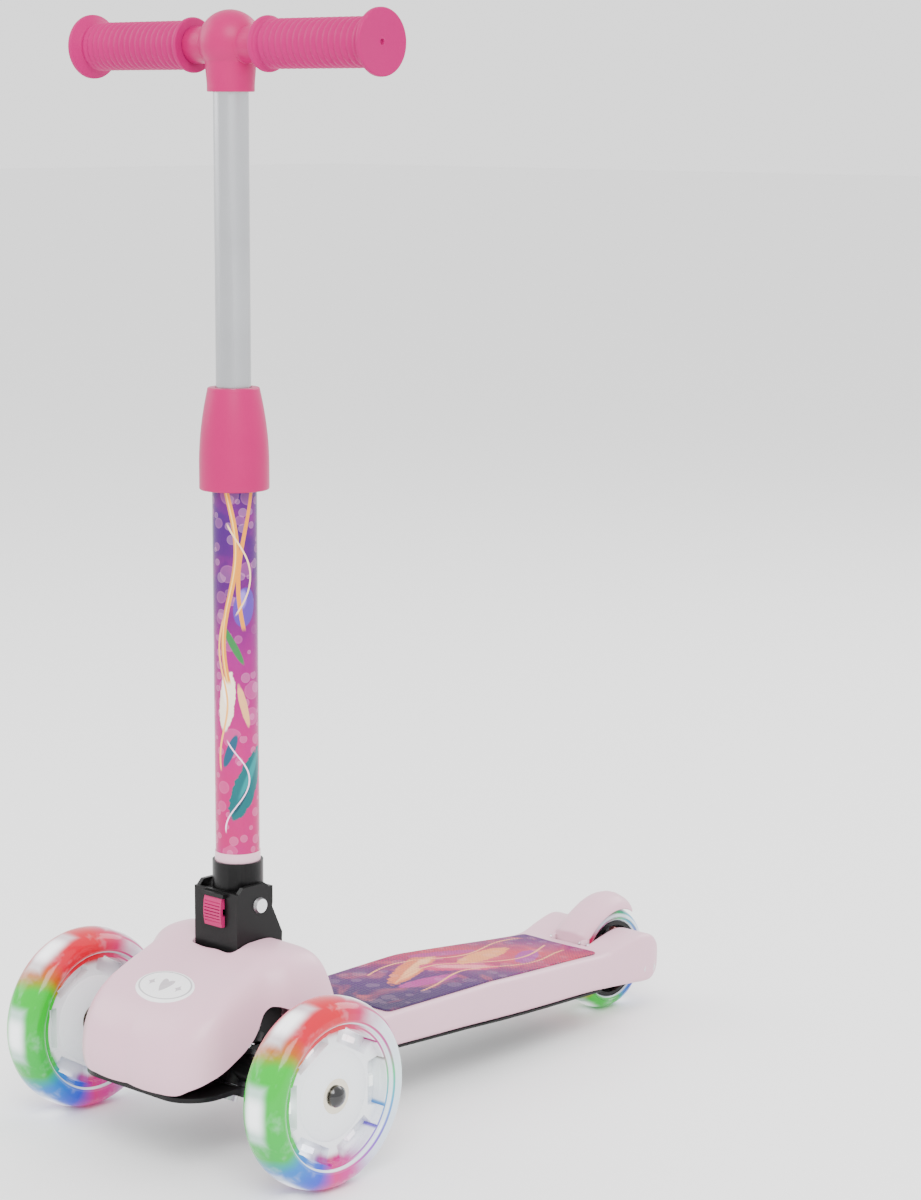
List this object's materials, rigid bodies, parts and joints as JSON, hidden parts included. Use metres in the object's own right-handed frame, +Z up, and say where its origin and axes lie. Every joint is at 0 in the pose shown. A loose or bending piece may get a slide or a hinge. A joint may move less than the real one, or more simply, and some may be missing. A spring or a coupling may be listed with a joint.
{
  "type": "kick scooter",
  "caption": "Child's lean-to-steer kick scooter with two light-up front wheels, a small rear wheel under a foot brake, a folding upright and a height-adjustable T-bar.",
  "frame": {"origin": "on the ground, midway along and across the scooter's box", "axes": "+Z up along the upright, -Y the way the scooter travels, +X the rider's left"},
  "size_m": [0.259, 0.5006, 0.7136],
  "materials": {
    "shell_pink": "light pink moulded plastic, satin",
    "hot_pink_plastic": "hot pink moulded plastic",
    "grip_rubber": "hot pink soft rubber",
    "silver_tube": "satin anodised",
    "black_plastic": "black moulded plastic",
    "black_metal": "black domed bolt head",
    "bright_steel": "bright zinc",
    "bearing_steel": "ground steel",
    "magnet_steel": "sintered magnet",
    "printed_film": "printed wrap, glossy",
    "painted_tube": "painted steel tube",
    "badge_white": "white printed badge",
    "printed_mat": "printed dimpled mat",
    "brake_rubber": "black rubber",
    "wheel_tyre": "clear cast polyurethane",
    "wheel_core": "milky white translucent plastic",
    "wheel_light": "light capsule"
  },
  "bodies": {
    "chassis": {"chassis_upper": "black_plastic", "chassis_lower": "black_plastic", "front_cover": "shell_pink", "badge": "badge_white", "deck": "shell_pink", "deck_liner": "black_plastic", "grip_mat": "printed_mat", "deck_screws": "bright_steel", "fold_bracket": "black_plastic", "bracket_screws": "bright_steel", "pivot_bolt": "bright_steel", "pivot_nut": "bright_steel", "kingpins": "bright_steel", "centring_springs": "bright_steel", "rear_axle": "bright_steel", "rear_axle_nut": "bright_steel", "axle_bushes": "bright_steel", "brake_hinge_pin": "bright_steel", "brake_spring": "bright_steel", "button_spring": "bright_steel"},
    "lower_stem": {"stem_socket": "black_plastic", "lower_tube": "painted_tube", "stem_decal": "printed_film", "tube_liner": "shell_pink", "tube_rivet": "bright_steel", "collar_insert": "black_plastic"},
    "clamp_collar": {"clamp_collar": "hot_pink_plastic"},
    "upper_stem": {"upper_tube": "silver_tube", "tube_bushing": "black_plastic", "handlebar_hub": "hot_pink_plastic", "hub_screw": "bright_steel", "grip_bar": "bright_steel", "grip_left": "grip_rubber", "grip_right": "grip_rubber"},
    "fold_button": {"fold_button": "hot_pink_plastic"},
    "rear_brake": {"brake_fender": "shell_pink", "brake_pad": "brake_rubber"},
    "rear_wheel": {"rear_wheel_tyre": "wheel_tyre", "rear_wheel_core": "black_plastic", "rear_wheel_bearings": "bearing_steel", "rear_wheel_spacer": "bright_steel", "rear_wheel_leds": "wheel_light"},
    "tie_rod": {"tie_rod": "black_plastic", "tie_rod_pins": "bright_steel"},
    "knuckle_left": {"knuckle_left": "black_plastic", "front_axle_left": "black_metal", "wheel_magnet_left": "magnet_steel"},
    "front_wheel_left": {"front_wheel_left_tyre": "wheel_tyre", "front_wheel_left_core": "wheel_core", "front_wheel_left_bearings": "bearing_steel", "front_wheel_left_spacer": "bright_steel", "front_wheel_left_leds": "wheel_light"},
    "knuckle_right": {"knuckle_right": "black_plastic", "front_axle_right": "black_metal", "wheel_magnet_right": "magnet_steel"},
    "front_wheel_right": {"front_wheel_right_tyre": "wheel_tyre", "front_wheel_right_core": "wheel_core", "front_wheel_right_bearings": "bearing_steel", "front_wheel_right_spacer": "bright_steel", "front_wheel_right_leds": "wheel_light"}
  },
  "joints": [
    {"name": "stem_fold", "type": "hinge", "parent": "chassis", "child": "lower_stem", "pos_m": [0, -0.15325, 0.1538], "axis": [-1, 0, 0], "range_deg": [0, 90]},
    {"name": "button_press", "type": "slide", "parent": "chassis", "child": "fold_button", "axis": [0, 1, 0], "range_m": [0, 0.003], "stiffness_N_per_m": 600, "springref_m": -0.001, "deforming": ["button_spring"]},
    {"name": "collar_twist", "type": "hinge", "parent": "lower_stem", "child": "clamp_collar", "pos_m": [0, -0.15325, 0.45], "axis": [0, 0, 1], "range_deg": [0, 90]},
    {"name": "height_slide", "type": "slide", "parent": "lower_stem", "child": "upper_stem", "axis": [0, 0, 1], "range_m": [-0.15, 0]},
    {"name": "steer_left", "type": "hinge", "parent": "chassis", "child": "knuckle_left", "pos_m": [0.035, -0.18775, 0.06], "axis": [0, 0.4226, 0.9063], "range_deg": [-16, 16], "stiffness_Nm_per_rad": 6},
    {"name": "steer_right", "type": "hinge", "parent": "chassis", "child": "knuckle_right", "pos_m": [-0.035, -0.18775, 0.06], "axis": [0, 0.4226, 0.9063], "range_deg": [-16, 16]},
    {"name": "tie_rod_swing", "type": "hinge", "parent": "knuckle_left", "child": "tie_rod", "pos_m": [0.035, -0.16237, 0.04817], "axis": [0, 0.4226, 0.9063], "range_deg": [-16, 16]},
    {"name": "front_wheel_left_spin", "type": "hinge", "parent": "knuckle_left", "child": "front_wheel_left", "pos_m": [0.112, -0.18775, 0.06], "axis": [1, 0, 0], "continuous": true},
    {"name": "front_wheel_right_spin", "type": "hinge", "parent": "knuckle_right", "child": "front_wheel_right", "pos_m": [-0.112, -0.18775, 0.06], "axis": [1, 0, 0], "continuous": true},
    {"name": "rear_wheel_spin", "type": "hinge", "parent": "chassis", "child": "rear_wheel", "pos_m": [0, 0.21225, 0.038], "axis": [1, 0, 0], "continuous": true},
    {"name": "brake_press", "type": "hinge", "parent": "chassis", "child": "rear_brake", "pos_m": [0, 0.17675, 0.0565], "axis": [-1, 0, 0], "range_deg": [0, 4], "stiffness_Nm_per_rad": 4, "springref_deg": -2.86}
  ],
  "couplings": [
    {"joint": "steer_right", "follows": "steer_left", "ratio": 1},
    {"joint": "tie_rod_swing", "follows": "steer_left", "ratio": -1}
  ]
}
